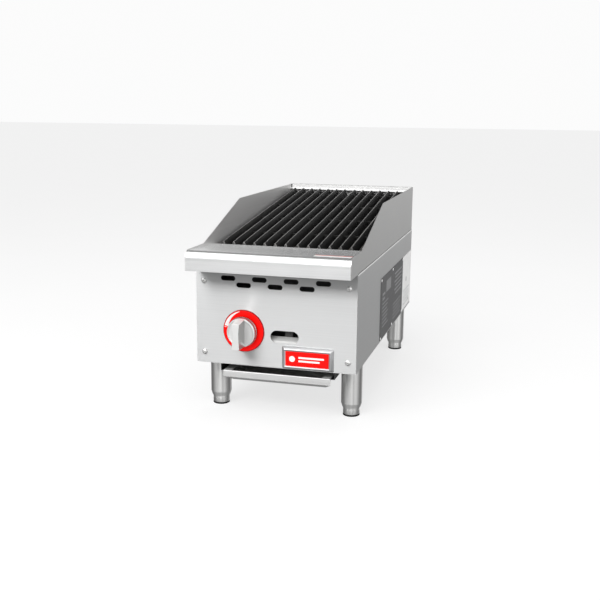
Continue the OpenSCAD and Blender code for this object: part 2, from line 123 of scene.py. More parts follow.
def rgb(red, green=None, blue=None, by=1.0):
    """A colour with alpha 1: one number for a grey, or three, all multiplied by the last argument."""
    if green is None:
        green = blue = red
    return (red * by, green * by, blue * by, 1.0)


# How far the noise is squeezed along each axis: little along the grain, so that it runs in long lines.
GRAIN = {"x": (5, 1400, 1400), "y": (1400, 5, 1400), "z": (1400, 1400, 5)}


def brushed(name, tone, rough, along="x", stain=0.0, metallic=1.0, grain_depth=0.0000015, streak=0.0,
            polish=None):
    """Brushed stainless sheet: fine grain along one axis, faint clouds from handling, perhaps heat stain.

    streak spreads reflections across the grain, from 0 to 1, as brushing does. polish is (low, high,
    roughness): from the lower height to the higher, the sheet changes to that roughness."""
    look = Look(name, metallic=metallic)
    if streak:
        look.shader.inputs["Anisotropic"].default_value = streak
        if along == "x":
            across = look.add("ShaderNodeTangent")
            across.direction_type = "RADIAL"
            across.axis = "X"
            look.feed(look.shader.inputs["Tangent"], across.outputs["Tangent"])
        else:
            look.shader.inputs["Anisotropic Rotation"].default_value = 0.25
    grain = look.noise(1.0, 3.0, GRAIN[along], 0.65)
    clouds = look.noise(5.0, 3.0)
    smears = look.noise(24.0, 4.0)
    base = look.mix(look.remap(grain, 0.0, 1.0), rgb(*tone, by=0.95), rgb(*tone, by=1.04))
    base = look.mix(look.remap(clouds, 0.0, 0.3), base, rgb(*tone, by=0.93))
    if stain:
        heat = look.remap(look.noise(14.0, 5.0), 0.0, stain, 0.35, 0.75)
        base = look.mix(heat, base, rgb(0.30, 0.20, 0.11))
        scorch = look.remap(look.noise(60.0, 4.0), 0.0, stain * 0.5, 0.5, 0.8)
        base = look.mix(scorch, base, rgb(0.05, 0.045, 0.04))
    gloss = look.remap(grain, rough - 0.04, rough + 0.05)
    gloss = look.mix(look.remap(smears, 0.0, 0.35), gloss, rgb(rough + 0.05))
    if polish:
        gloss = look.mix(look.height(*polish[:2]), gloss, rgb(polish[2]))
    look.bump(grain, grain_depth)
    return look.finish(base, gloss)


def cast_iron(name, tone=0.012, rough=0.5, metallic=0.2, specular=0.4):
    """Sand-cast, oil-seasoned iron: fine pits, soft lumps and patches that are burnished or dry."""
    look = Look(name, metallic=metallic, Specular_IOR_Level=specular)
    pits = look.noise(900.0, 4.0, roughness=0.6)
    lumps = look.noise(160.0, 3.0)
    patches = look.noise(22.0, 4.0)
    base = look.mix(look.remap(patches, 0.0, 1.0), rgb(tone), rgb(tone * 1.7, tone * 1.65, tone * 1.6))
    base = look.mix(look.remap(pits, 0.0, 0.5, 0.55, 0.75), base, rgb(tone * 0.5))
    look.bump(pits, 0.00008)
    look.bump(lumps, 0.0003)
    return look.finish(base, look.remap(patches, rough - 0.08, rough + 0.14))


def enamel(name, tone, rough=0.22, speck=0.04, coat=0.5, specular=0.5):
    """Paint or enamel: slight orange peel, faintly uneven colour, and a clear coat where it is glossy."""
    look = Look(name, Coat_Weight=coat, Coat_Roughness=0.1, Specular_IOR_Level=specular)
    peel = look.noise(420.0, 2.0)
    clouds = look.noise(35.0, 3.0)
    base = look.mix(look.remap(clouds, 0.0, 1.0), rgb(*tone, by=1.0 - speck), rgb(*tone, by=1.0 + speck))
    look.bump(peel, 0.000012)
    return look.finish(base, look.remap(peel, rough - 0.04, rough + 0.06))


def plated(name, tone, rough, along="z", depth=0.000001, streak=0.0, metallic=1.0):
    """Smooth plated or turned metal with faint tool lines."""
    look = Look(name, metallic=metallic)
    if streak:
        look.shader.inputs["Anisotropic"].default_value = streak
        look.shader.inputs["Anisotropic Rotation"].default_value = 0.25
    lines = look.noise(1.0, 2.0, GRAIN[along], 0.6)
    clouds = look.noise(30.0, 3.0)
    base = look.mix(look.remap(clouds, 0.0, 1.0), rgb(*tone, by=0.95), rgb(*tone, by=1.04))
    look.bump(lines, depth)
    return look.finish(base, look.remap(lines, rough - 0.03, rough + 0.05))


def rubber(name):
    """Dull black rubber with a fine grit."""
    look = Look(name, Specular_IOR_Level=0.15)
    grit = look.noise(700.0, 3.0)
    base = look.mix(look.remap(grit, 0.0, 1.0), rgb(0.004), rgb(0.009))
    look.bump(grit, 0.0001)
    return look.finish(base, look.remap(grit, 0.6, 0.78))


def print_film(name, tone, rough=0.35):
    """Printed vinyl or foil: near plain, with a faint wave where it has been pressed down."""
    look = Look(name, Coat_Weight=0.3, Coat_Roughness=0.15)
    wave = look.noise(60.0, 2.0)
    base = look.mix(look.remap(wave, 0.0, 1.0), rgb(*tone, by=0.96), rgb(*tone, by=1.03))
    look.bump(wave, 0.00006)
    return look.finish(base, look.remap(wave, rough - 0.05, rough + 0.08))


STEEL = (0.74, 0.745, 0.745)
LOOKS = {
    "front": brushed("front_sheet", STEEL, 0.45, "x", streak=0.9),
    "side": brushed("side_sheet", STEEL, 0.36, "y"),
    # The left splash's sheet is a lighter, more diffuse copy of the steel, painted light on its inner face;
    # the right splash's is a darker copy, painted shade on its outer face.
    "splash": brushed("splash_sheet", (0.82, 0.815, 0.81), 0.4, "y", metallic=0.62),
    "outer_splash": brushed("right_splash_painted_shade_sheet", (0.61, 0.61, 0.605), 0.38, "y", metallic=0.85),
    "ledge": brushed("ledge_sheet", (0.86, 0.865, 0.865), 0.38, "x", streak=0.75, grain_depth=0.0000003,
                     polish=(0.302, 0.316, 0.22)),
    "rear_splash": brushed("rear_splash_sheet", (0.82, 0.82, 0.815), 0.34, "x", metallic=0.8, streak=0.8),
    "inner": brushed("inner_sheet", (0.5, 0.49, 0.48), 0.42, "y", stain=0.25),
    # Near-black sheet: painted shade, for the tray rails and front baffle that sit in shadow and for the
    # dark seam and hem gap strips.
    "dark": brushed("painted_shade_sheet", (0.1, 0.1, 0.1), 0.5, "y"),
    "baffle": brushed("baffle_sheet", (0.72, 0.72, 0.71), 0.4, "x", metallic=0.7),
    "radiant": brushed("radiant_sheet", (0.36, 0.33, 0.31), 0.48, "y", stain=0.7),
    "burner": brushed("burner_steel", (0.45, 0.44, 0.42), 0.45, "y", stain=0.5),
    "tray": brushed("tray_sheet", (0.76, 0.76, 0.755), 0.42, "x", streak=0.85),
    "leg": brushed("leg_tube_steel", (0.95, 0.95, 0.94), 0.3, "z", grain_depth=0.000001, streak=0.9),
    "foot": plated("foot_metal", (0.95, 0.95, 0.94), 0.3, "x", streak=0.85),
    "knob": plated("knob_plating", (0.88, 0.88, 0.87), 0.4, "z", streak=0.45, metallic=0.62),
    # Mirror-smooth plating for the skirt's outer wall, darker than the face: a real mirror finish, partly
    # painted shade.
    "knob_wall_painted_shade": plated("painted_shade_knob_skirt_wall_plating", (0.5, 0.5, 0.495), 0.25, "z"),
    # Darker copy of the knob plating: painted shade on the grip's side faces.
    "knob_side_painted_shade": plated("painted_shade_grip_side_plating", (0.42, 0.42, 0.415), 0.34, "z", streak=0.3, metallic=0.9),
    "badge": plated("badge_plating", (0.7, 0.7, 0.71), 0.4, "x"),
    "screw": plated("screw_zinc", (0.92, 0.92, 0.91), 0.36, "x"),
    # Near-white, partly diffuse rivets: light alloy, whitened further as a painted highlight so they read as
    # bright dots.
    "rivet": plated("rivet_alloy_with_painted_highlight", (0.95, 0.95, 0.95), 0.35, "x", metallic=0.4),
    "brass": plated("brass", (0.6, 0.43, 0.2), 0.32, "y"),
    # Dark grey for the pilot parts: their own grey, darkened further as painted shade for the cavity they
    # sit in.
    "pilot": plated("pilot_grey_with_painted_shade", (0.13, 0.13, 0.127), 0.5, "y"),
    "pipe": cast_iron("black_pipe", 0.02, 0.45),
    "iron": cast_iron("grate_iron", 0.007, 0.55, 0.1, 0.22),
    # Lighter iron: real wear on the bar crowns, and painted light on the bars' front faces and tips that
    # face the lamps.
    "worn_and_painted_light_iron": cast_iron("grate_iron_worn_and_painted_light", 0.26, 0.34, 0.85, 0.4),
    # Bright bare-looking iron on each bar's small step face: a painted glint.
    "glint": plated("painted_glint_iron", (0.75, 0.75, 0.74), 0.3, "x", streak=0.5),
    "red": enamel("red_enamel", (0.95, 0.003, 0.0015), 0.45, coat=0.0, specular=0.12),
    "dark_red": enamel("red_enamel_rim", (0.36, 0.003, 0.006), 0.4, coat=0.0, specular=0.2),
    "white": enamel("white_enamel", (0.82, 0.82, 0.81), 0.3, coat=0.2),
    "plate": enamel("plate_grey", (0.105, 0.105, 0.107), 0.55, coat=0.0, specular=0.25),
    "plate_print": enamel("plate_pale_print", (0.24, 0.24, 0.245), 0.55, coat=0.0, specular=0.25),
    "label_white": print_film("label_white", (0.93, 0.93, 0.92)),
    "label_red": print_film("label_red", (0.75, 0.02, 0.012)),
    "label_grey": print_film("label_grey", (0.5, 0.51, 0.52)),
    "rubber": rubber("pad_rubber"),
    # Near-white, mostly diffuse strip: a painted highlight for folded edges that catch the light.
    "bright_edge": plated("bright_edge", (0.96, 0.96, 0.955), 0.5, "y", metallic=0.15),
    # Light-grey sheet for the port shield, lightened and made more diffuse: painted light on the sheet seen
    # in the shadowed port.
    "shield": brushed("shield_sheet_painted_light", (0.93, 0.93, 0.92), 0.62, "x", metallic=0.45),
}


# ---------------------------------------------------------------- mesh helpers
SHARP_ANGLE = math.radians(38)      # an edge that turns by more than this is a sharp one


def bevel(made, width):
    """Rounds the sharp edges of a piece, as folding, casting or turning leaves them."""
    rounding = made.modifiers.new("edges", "BEVEL")
    rounding.width = width
    rounding.segments = 2
    rounding.limit_method = "ANGLE"
    rounding.angle_limit = SHARP_ANGLE
    rounding.harden_normals = False


def piece(name, mesh, look, body, smooth=True, edges=0.0, replaces=()):
    """Makes a visible piece from a bmesh, with the body it rides on and the nodes it replaces.

    look is the name of a material, or a tuple of names that the faces choose from by material index."""
    data = bpy.data.meshes.new(name)
    bmesh.ops.recalc_face_normals(mesh, faces=mesh.faces)
    mesh.to_mesh(data)
    mesh.free()
    made = bpy.data.objects.new(name, data)
    bpy.context.scene.collection.objects.link(made)
    for one in (look if isinstance(look, tuple) else (look,)):
        data.materials.append(LOOKS[one])
    for face in data.polygons:
        face.use_smooth = smooth
    if smooth:
        data.set_sharp_from_angle(angle=SHARP_ANGLE)
    if edges:
        bevel(made, edges)
    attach(made, body)
    if replaces:
        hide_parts(*replaces)
    return made


def axis_matrix(centre, toward):
    """A frame at centre whose Z axis points toward the given direction."""
    return Matrix.Translation(centre) @ Vector(toward).to_track_quat("Z", "Y").to_matrix().to_4x4()


def lathe(mesh, profile, centre, toward, steps=72):
    """Turns a profile of (radius, distance along the axis) points. A radius of 0 closes an end."""
    place = axis_matrix(centre, toward)
    rings = []
    for radius, along in profile:
        if radius == 0:
            rings.append([mesh.verts.new(place @ Vector((0, 0, along)))])
            continue
        turn = [2 * math.pi * k / steps for k in range(steps)]
        rings.append([mesh.verts.new(place @ Vector((radius * math.cos(a), radius * math.sin(a), along)))
                      for a in turn])
    for low, high in zip(rings, rings[1:]):
        for k in range(steps):
            after = (k + 1) % steps
            loop = [low[k % len(low)], low[after % len(low)], high[after % len(high)], high[k % len(high)]]
            mesh.faces.new(list(dict.fromkeys(loop)))
    return mesh


def prism(mesh, outline, start, end):
    """A closed block between two copies of an outline. start and end turn an outline point into a place."""
    low = [mesh.verts.new(start(p)) for p in outline]
    high = [mesh.verts.new(end(p)) for p in outline]
    mesh.faces.new(low)
    mesh.faces.new(list(reversed(high)))
    for k in range(len(outline)):
        after = (k + 1) % len(outline)
        mesh.faces.new([low[k], high[k], high[after], low[after]])
    return mesh


def slab(mesh, outline, depth, place):
    """A plate of the given depth. Its outline is in its own plane, and place sets it in the row frame."""
    return prism(mesh, outline, lambda p: place @ Vector((*p, 0)), lambda p: place @ Vector((*p, depth)))


def rounded_box(width, height, radius, steps=5):
    """Outline of a rectangle with round corners, about its middle."""
    points = []
    for quarter in range(4):
        sx, sy = ((1, 1), (-1, 1), (-1, -1), (1, -1))[quarter]
        for k in range(steps + 1):
            a = math.pi / 2 * (quarter + k / steps)
            points.append((sx * (width / 2 - radius) + radius * math.cos(a),
                           sy * (height / 2 - radius) + radius * math.sin(a)))
    return points


def block(low, high):
    """A plain box between its lowest and highest corners, for a thin strip."""
    low, high = Vector(low), Vector(high)
    mesh = bmesh.new()
    bmesh.ops.create_cube(mesh, size=1.0)
    bmesh.ops.scale(mesh, vec=high - low, verts=mesh.verts)
    bmesh.ops.translate(mesh, vec=(low + high) / 2, verts=mesh.verts)
    return mesh


def facing(direction, centre):
    """A frame at centre for something flat and upright that faces a direction: X is its right, Y is up."""
    out = Vector(direction).normalized()
    right = Vector((0, 0, 1)).cross(out).normalized()
    turn = Matrix((right, out.cross(right), out)).transposed().to_4x4()
    return Matrix.Translation(centre) @ turn


FRONT = (0, -1, 0)
panel_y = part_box("front_panel")[0].y


# ---------------------------------------------------------------- carried-over nodes
CARRIED = {
    "front": "front_panel",
    "side": "left_side_panel right_side_panel rear_panel",
    "splash": "left_splash",
    "outer_splash": "right_splash",
    "rear_splash": "rear_splash",
    "ledge": "front_ledge",
    "inner": "left_base_rail right_base_rail base_cross_rails left_liner right_liner rear_baffle "
             "front_grate_rest rear_grate_rest radiant_rests",
    # The tray rails and the front baffle are painted near-black: painted shade for the dark gap above the
    # tray and the cavity behind the vents.
    "dark": "tray_rails front_baffle",
    "baffle": "air_shutter",
    "shield": "port_shield",
    "radiant": "left_radiant right_radiant",
    "burner": "burner_left_tube burner_right_tube burner_crossover",
    "tray": "drip_tray",
    "leg": "leg_front_left leg_front_right leg_rear_left leg_rear_right",
    "brass": "gas_valve orifice_spud",
    "screw": "valve_stem leg_nuts",
    "pipe": "manifold_pipe manifold_elbow supply_pipe",
    "pilot": "pilot_valve pilot_screw pilot_tube pilot_burner",
    "plate": "rating_plate",
}
# The radius of a look's edges, where it isn't that of a thin sheet.
SHEET_EDGE = 0.0003
EDGE_RADIUS = {"front": 0.0004, "ledge": 0.0004, "tray": 0.0004, "leg": 0.0008, "pipe": 0.001}
for look_name, names in CARRIED.items():
    for node_name in names.split():
        carried = nodes[node_name]
        carried.data.materials.clear()
        carried.data.materials.append(LOOKS[look_name])
        bevel(carried, EDGE_RADIUS.get(look_name, SHEET_EDGE))


# ---------------------------------------------------------------- control
def make_knob():
    """A round plated skirt, with a waisted grip that stands across it."""
    low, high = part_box("knob")
    centre = Vector(((low.x + high.x) / 2, high.y, (low.z + high.z) / 2))
    radius = (high.x - low.x) / 2
    depth = high.y - low.y
    skirt = 15 * MM
    mesh = bmesh.new()
    lathe(mesh, [(0, 0.4 * MM), (radius - 6 * MM, 0.4 * MM), (radius - 5 * MM, 0), (radius - 0.6 * MM, 0),
                 (radius, 0.7 * MM), (radius, 5 * MM), (radius - 0.8 * MM, 5.8 * MM),
                 (radius - 1.1 * MM, skirt - 2.2 * MM), (radius - 1.7 * MM, skirt - 0.8 * MM),
                 (radius - 3 * MM, skirt), (radius - 4.2 * MM, skirt - 0.3 * MM),
                 (radius - 5.4 * MM, skirt - 1.2 * MM), (radius - 6 * MM, skirt - 1.35 * MM),
                 (radius - 7 * MM, skirt - 1.4 * MM), (0, skirt - 1.4 * MM)], centre, FRONT, 96)
    # The skirt's outer wall takes the darker, mirror-smooth plating: partly painted shade.
    for face in mesh.faces:
        if min(math.hypot(v.co.x - centre.x, v.co.z - centre.z) for v in face.verts) > radius - 1.3 * MM:
            face.material_index = 1
    piece("knob_skirt", mesh, ("knob", "knob_wall_painted_shade"), "knob", replaces=["knob"])

    # The grip is waisted towards its front face, and its ends follow the skirt's circle.
    mesh = bmesh.new()
    reach = radius - 1.6 * MM
    side_points, end_points = 11, 3
    # Distance from the knob's rear, half width, depth of the waist, and how far the top and bottom draw in.
    grip = ((13, 7.7, 0.02, 0, 0), (17, 7.7, 0.04, 0.2, 0), (24, 7.7, 0.1, 0.9, 0.2),
            (31, 7.7, 0.15, 1.7, 0.4), (38, 7.6, 0.19, 2.5, 0.8), (43, 7.5, 0.2, 3.1, 1.4),
            (depth / MM, 7.2, 0.2, 4.2, 2.6))
    levels = []
    for along, half, waist, top, bottom in grip:
        half, top, bottom = half * MM, top * MM, bottom * MM
        corner = math.sqrt(reach ** 2 - half ** 2)
        side = []
        for k in range(side_points):
            u = 1 - 2 * k / (side_points - 1)
            z = (corner - top) * u if u > 0 else (corner - bottom) * u
            side.append((half * (1 - waist * (1 - u * u)), z))
        low_end = [(half * t, -math.sqrt(reach ** 2 - (half * t) ** 2) + bottom) for t in (0.5, 0, -0.5)]
        high_end = [(half * t, math.sqrt(reach ** 2 - (half * t) ** 2) - top) for t in (-0.5, 0, 0.5)]
        outline = side + low_end + [(-x, z) for x, z in side[::-1]] + high_end
        levels.append([mesh.verts.new(centre + Vector((x, -along * MM, z))) for x, z in outline])
    for ring, nearer in zip(levels, levels[1:]):
        for k in range(len(ring)):
            after = (k + 1) % len(ring)
            face = mesh.faces.new([ring[k], ring[after], nearer[after], nearer[k]])
            # The grip's long side faces take the darker plating: painted shade.
            on_a_side = k % (side_points + end_points) < side_points - 1
            face.material_index = 1 if on_a_side else 0
    mesh.faces.new(levels[0])
    mesh.faces.new(levels[-1])
    piece("knob_grip", mesh, ("knob", "knob_side_painted_shade"), "knob", edges=0.5 * MM)


def make_dial():
    """The red ring behind the knob, its darker rim and its white marks."""
    low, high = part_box("knob_bezel")
    centre = Vector(((low.x + high.x) / 2, panel_y, (low.z + high.z) / 2))
    radius = (high.x - low.x) / 2
    rise = high.y - low.y
    mesh = bmesh.new()
    rim = radius - 1.7 * MM
    hole = 12 * MM
    lathe(mesh, [(hole, 0), (rim, 0), (rim, rise - 0.6 * MM), (rim - 0.5 * MM, rise - 0.15 * MM),
                 (rim - 1.6 * MM, rise), (radius - 14 * MM, rise - 0.15 * MM),
                 (radius - 16 * MM, rise - 1.1 * MM), (hole, rise - 1.1 * MM), (hole, 0)],
          centre, FRONT, 128)
    piece("dial_ring", mesh, "red", "casing", replaces=["knob_bezel"])
    mesh = bmesh.new()
    lathe(mesh, [(rim, 0), (radius - 0.2 * MM, 0), (radius, 0.3 * MM), (radius - 0.2 * MM, 1.3 * MM),
                 (rim + 0.3 * MM, rise - 0.7 * MM), (rim, rise - 0.8 * MM), (rim, 0)], centre, FRONT, 128)
    piece("dial_rim", mesh, "dark_red", "casing")

    # A crescent that widens from the top towards the left shows the flame growing, and a tick ends it.
    mesh = bmesh.new()
    wide = radius - 2.6 * MM
    steps = 28
    first, sweep = 100, 66
    outer, inner = [], []
    for k in range(steps + 1):
        a = math.radians(first + sweep * k / steps)
        r = wide - (0.3 + 7.2 * (k / steps) ** 0.8) * MM
        outer.append((wide * math.cos(a), wide * math.sin(a)))
        inner.append((r * math.cos(a), r * math.sin(a)))
    top = centre + Vector((0, 0.1 * MM - rise, 0))
    slab(mesh, outer + inner[::-1], 0.2 * MM, facing(FRONT, top))
    tick = Matrix.Rotation(math.radians(170), 4, "Z") @ Matrix.Translation((wide - 2 * MM, 0, 0))
    slab(mesh, rounded_box(4 * MM, 1.0 * MM, 0.3 * MM), 0.2 * MM, facing(FRONT, top) @ tick)
    piece("dial_marks", mesh, "white", "casing", smooth=False)


make_knob()
make_dial()


# ---------------------------------------------------------------- grates
def make_grate(side):
    """Seven ridged bars with cross ribs under them, cast in one piece and laid on the slope."""
    low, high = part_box(side + "_grate")
    length_y, rise = high.y - low.y, high.z - low.z
    bars, pitch, bar_h, half_foot = 7, 21 * MM, 17 * MM, 6.5 * MM
    slope = math.radians(6.9)
    length = (length_y - bar_h * math.sin(slope)) / math.cos(slope)
    start = Vector(((low.x + high.x) / 2, high.y - length * math.cos(slope),
                    high.z - length * math.sin(slope)))
    lay = Matrix.Translation(start) @ Matrix.Rotation(slope, 4, "X")
    mesh = bmesh.new()

    def section(x, y, drop, narrow=0.0):
        """The outline across the bar at x, its crown lowered by drop, its sides drawn in by narrow."""
        half = half_foot - narrow
        shape = [(-0.9 * MM, -drop), (0.9 * MM, -drop), (1.7 * MM, -drop - 1.2 * MM),
                 (half, 2.6 * MM - bar_h), (half, 0.4 * MM - bar_h),
                 (half - 1 * MM, -bar_h), (2.6 * MM, -bar_h), (0, 4 * MM - bar_h),
                 (-2.6 * MM, -bar_h), (1 * MM - half, -bar_h),
                 (-half, 0.4 * MM - bar_h), (-half, 2.6 * MM - bar_h), (-1.7 * MM, -drop - 1.2 * MM)]
        return [mesh.verts.new(lay @ Vector((x + px, y, pz))) for px, pz in shape]

    # The first 19 mm of a bar lie a little lower, up to a small step.
    tip, step_end = 19 * MM, 20.6 * MM
    plain = length - 21.4 * MM
    for k in range(bars):
        x = (k - (bars - 1) / 2) * pitch
        rings = [section(x, 0, 0.7 * MM, 2.2 * MM), section(x, 1.2 * MM, 0.15 * MM),
                 section(x, tip, 0.9 * MM), section(x, step_end, 0)]
        rings += [section(x, step_end + plain * t / 8, 0) for t in range(1, 9)]
        rings.append(section(x, length, 0.7 * MM, 0.6 * MM))
        # Each bar's front face takes the lighter iron: painted light where it faces the lamps.
        mesh.faces.new(rings[0]).material_index = 1
        mesh.faces.new(rings[-1][::-1])
        for at, (ring, after) in enumerate(zip(rings, rings[1:])):
            for n in range(len(ring)):
                m = (n + 1) % len(ring)
                face = mesh.faces.new([ring[n], after[n], after[m], ring[m]])
                # Crown faces take the lighter iron as wear, tip faces as painted light, and the small step
                # faces the bright iron as a painted glint.
                on_the_crown, on_the_tip, on_the_step = n == 0, at == 0, at == 2
                if on_the_crown or on_the_tip:
                    face.material_index = 2 if on_the_step else 1
    span = pitch * (bars - 1) / 2
    ribs = [(106 * MM + k * 127 * MM, -7.2 * MM) for k in range(4)]
    ribs += [(0.6 * MM, -9 * MM), (length - 6.6 * MM, -9 * MM)]
    for y, top in ribs:
        shape = [(0, 1 * MM - bar_h), (0.3 * MM, top - 1 * MM), (1.6 * MM, top), (4.4 * MM, top),
                 (5.7 * MM, top - 1 * MM), (6 * MM, 1 * MM - bar_h)]
        prism(mesh, shape, lambda p, y=y: lay @ Vector((-span, y + p[0], p[1])),
              lambda p, y=y: lay @ Vector((span, y + p[0], p[1])))
    piece("grate_casting_" + side, mesh, ("iron", "worn_and_painted_light_iron", "glint"), side + "_grate",
          edges=0.25 * MM, replaces=[side + "_grate"])


for hand in ("left", "right"):
    make_grate(hand)


# ---------------------------------------------------------------- fasteners
def make_panel_screws():
    """Pan heads with a cross recess: four on the front panel and four on the rear."""
    spots = []
    low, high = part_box("panel_screws")
    head, head_rise = 5.2 * MM, 3.2 * MM
    front_column, front_rows = 137.3 * MM, (121.2 * MM, 256.8 * MM)
    rear_column, rear_rows = high.x - head, (low.z + head, 258.2 * MM)
    for sign in (-1, 1):
        for z in front_rows:
            spots.append((Vector((sign * front_column, panel_y, z)), Vector(FRONT)))
        for z in rear_rows:
            spots.append((Vector((sign * rear_column, high.y - head_rise, z)), Vector((0, 1, 0))))
    mesh = bmesh.new()
    for spot, out in spots:
        lathe(mesh, [(0, -1 * MM), (2.4 * MM, -1 * MM), (2.4 * MM, 0), (5.0 * MM, 0), (5.2 * MM, 0.3 * MM),
                     (5.1 * MM, 1.2 * MM), (4.5 * MM, 2.1 * MM), (3.6 * MM, 2.7 * MM), (2.2 * MM, 3.1 * MM),
                     (1.9 * MM, 3.1 * MM), (1.1 * MM, 2.2 * MM), (0, 1.9 * MM)], spot, out, 40)
        for turn in (0, 90):
            arm = facing(out, spot + out * 2.7 * MM) @ Matrix.Rotation(math.radians(turn + 20), 4, "Z")
            slab(mesh, rounded_box(5.2 * MM, 0.9 * MM, 0.2 * MM, 2), 0.12 * MM, arm)
    piece("panel_screw_heads", mesh, "screw", "casing", replaces=["panel_screws"])


def make_rivets():
    """Six domed rivets with a mandrel hole, round the side plate."""
    low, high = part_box("rating_plate")
    face = high.x
    mesh = bmesh.new()
    edge = 4 * MM
    for y in (low.y + edge, (low.y + high.y) / 2 + 0.5 * MM, high.y - edge):
        for z in (low.z + edge, high.z - edge):
            lathe(mesh, [(1.6 * MM, -1 * MM), (3.0 * MM, 0), (3.0 * MM, 0.2 * MM), (2.6 * MM, 0.75 * MM),
                         (1.7 * MM, 1.1 * MM), (0.7 * MM, 1.2 * MM), (0.5 * MM, 0.9 * MM), (0, 0.9 * MM)],
                  Vector((face, y, z)), (1, 0, 0), 32)
    piece("side_plate_rivets", mesh, "rivet", "casing", replaces=["plate_rivets"])


make_panel_screws()
make_rivets()


# ---------------------------------------------------------------- badge, plate and labels
def make_badge():
    """A plated surround, a red panel in it, and a mark on that."""
    low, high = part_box("badge_frame")
    in_low, in_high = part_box("badge_inlay")
    depth = panel_y - low.y
    place = facing(FRONT, Vector((0, panel_y, 0)))

    def outline(t, round_by):
        """A rectangle with round corners on the panel: the frame's outside at t 0, the inlay's at t 1."""
        left, right = low.x + (in_low.x - low.x) * t, high.x + (in_high.x - high.x) * t
        down, up = low.z + (in_low.z - low.z) * t, high.z + (in_high.z - high.z) * t
        box = rounded_box(right - left, up - down, round_by, 4)
        return [(x + (left + right) / 2, z + (down + up) / 2) for x, z in box]

    rings = [(0, 0), (0, 1.2 * MM), (0.05, 2.0 * MM), (0.5, depth - 0.7 * MM), (0.56, depth - 0.15 * MM),
             (0.62, depth), (0.72, depth), (0.78, depth - 0.3 * MM), (0.95, depth - 1.9 * MM),
             (1.03, depth - 2.1 * MM)]
    mesh = bmesh.new()
    loops = []
    for t, along in rings:
        loops.append([mesh.verts.new(place @ Vector((*p, along))) for p in outline(t, (2.6 - 1.8 * t) * MM)])
    for ring, after in zip(loops, loops[1:]):
        for k in range(len(ring)):
            n = (k + 1) % len(ring)
            mesh.faces.new([ring[k], ring[n], after[n], after[k]])
    mesh.faces.new(loops[0])
    mesh.faces.new(loops[-1])
    piece("badge_surround", mesh, "badge", "casing", replaces=["badge_frame"])

    mesh = bmesh.new()
    level = panel_y - in_low.y
    slab(mesh, outline(1.0, 0.8 * MM), 1.5 * MM, place @ Matrix.Translation((0, 0, level - 1.5 * MM)))
    piece("badge_panel", mesh, "red", "casing", edges=0.25 * MM, replaces=["badge_inlay"])

    # A plain mark that belongs to nobody: a dot and two bars.
    mesh = bmesh.new()
    middle = (in_low + in_high) / 2
    top = place @ Matrix.Translation((middle.x, middle.z, level - 0.05 * MM))
    lathe(mesh, [(0, 0), (5.5 * MM, 0), (5.5 * MM, 0.2 * MM), (5.2 * MM, 0.3 * MM), (0, 0.3 * MM)],
          top @ Vector((-28 * MM, 0, 0)), FRONT, 40)
    for bar, length in ((1, 48 * MM), (-1, 40 * MM)):
        slab(mesh, rounded_box(length, 3.4 * MM, 1.2 * MM), 0.25 * MM,
             top @ Matrix.Translation((-16 * MM + length / 2, bar * 3.2 * MM, 0)))
    piece("badge_mark", mesh, "white", "casing")


def make_plate_print():
    """Plain blocks and rules where the plate carries print."""
    low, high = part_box("rating_plate")
    centre = Vector((high.x, (low.y + high.y) / 2, (low.z + high.z) / 2))
    place = facing((1, 0, 0), centre)
    width, height = high.y - low.y, high.z - low.z
    mesh = bmesh.new()
    film = 0.12 * MM
    left = -width / 2 + 16 * MM
    blocks = [(left + 74 * MM, 38 * MM, 58 * MM, 24 * MM)]
    blocks += [(left + 18 * MM, 28 * MM, 30 * MM, 5 * MM), (left + 16 * MM, 18 * MM, 26 * MM, 5 * MM)]
    for k in range(7):
        x = left + 38 * MM - (k % 3) * 4 * MM
        blocks.append((x, (8 - 8 * k) * MM, (70 - (k % 3) * 8) * MM, 2.6 * MM))
    for k in range(6):
        x = width / 2 - 66 * MM + (k % 2) * 4 * MM
        blocks.append((x, (46 - 9 * k) * MM, (96 - (k % 2) * 10) * MM, 4 * MM))
    for k in range(5):
        x = width / 2 - 76 * MM - (k % 3) * 3 * MM
        blocks.append((x, (-20 - 8 * k) * MM, (104 - (k % 3) * 9) * MM, 2.6 * MM))
    for x, y, w, h in blocks:
        slab(mesh, rounded_box(w, h, 0.5 * MM, 1), film, place @ Matrix.Translation((x, y, 0)))
    piece("side_plate_print", mesh, "plate_print", "casing", smooth=False)


# Where the ledge's flat top starts, behind its front edge, and how far it falls towards the grates.
LEDGE_TOP_START, LEDGE_TOP_FALL = 13.1 * MM, 7.5 * MM


def make_side_label():
    """A pale film label that fills the corner behind the plate, with plain blocks on it."""
    low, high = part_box("rating_plate")
    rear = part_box("right_side_panel")[1]
    gap, film = 3 * MM, 0.2 * MM
    label_low = high.y + 2 * MM
    centre = Vector((rear.x, (label_low + rear.y - gap) / 2, (low.z + high.z) / 2))
    width, height = rear.y - gap - label_low, high.z - low.z - 2 * MM
    place = facing((1, 0, 0), centre)
    mesh = bmesh.new()
    slab(mesh, rounded_box(width, height, 3 * MM), film, place)
    piece("side_label", mesh, "label_white", "casing", smooth=False)
    mesh = bmesh.new()
    for k in range(5):
        slab(mesh, rounded_box((92 - 14 * (k % 2)) * MM, 2.2 * MM, 0.5 * MM, 1), 0.1 * MM,
             place @ Matrix.Translation((0, (-20 - 8 * k) * MM, film)))
    piece("side_label_print", mesh, "label_grey", "casing", smooth=False)
    mesh = bmesh.new()
    for x, y, tall in ((-4, 4, 11), (26, -49, 5)):
        slab(mesh, rounded_box(5 * MM, tall * MM, 1 * MM), 0.1 * MM,
             place @ Matrix.Translation((x * MM, y * MM, film)))
    piece("side_label_mark", mesh, "plate", "casing", smooth=False)


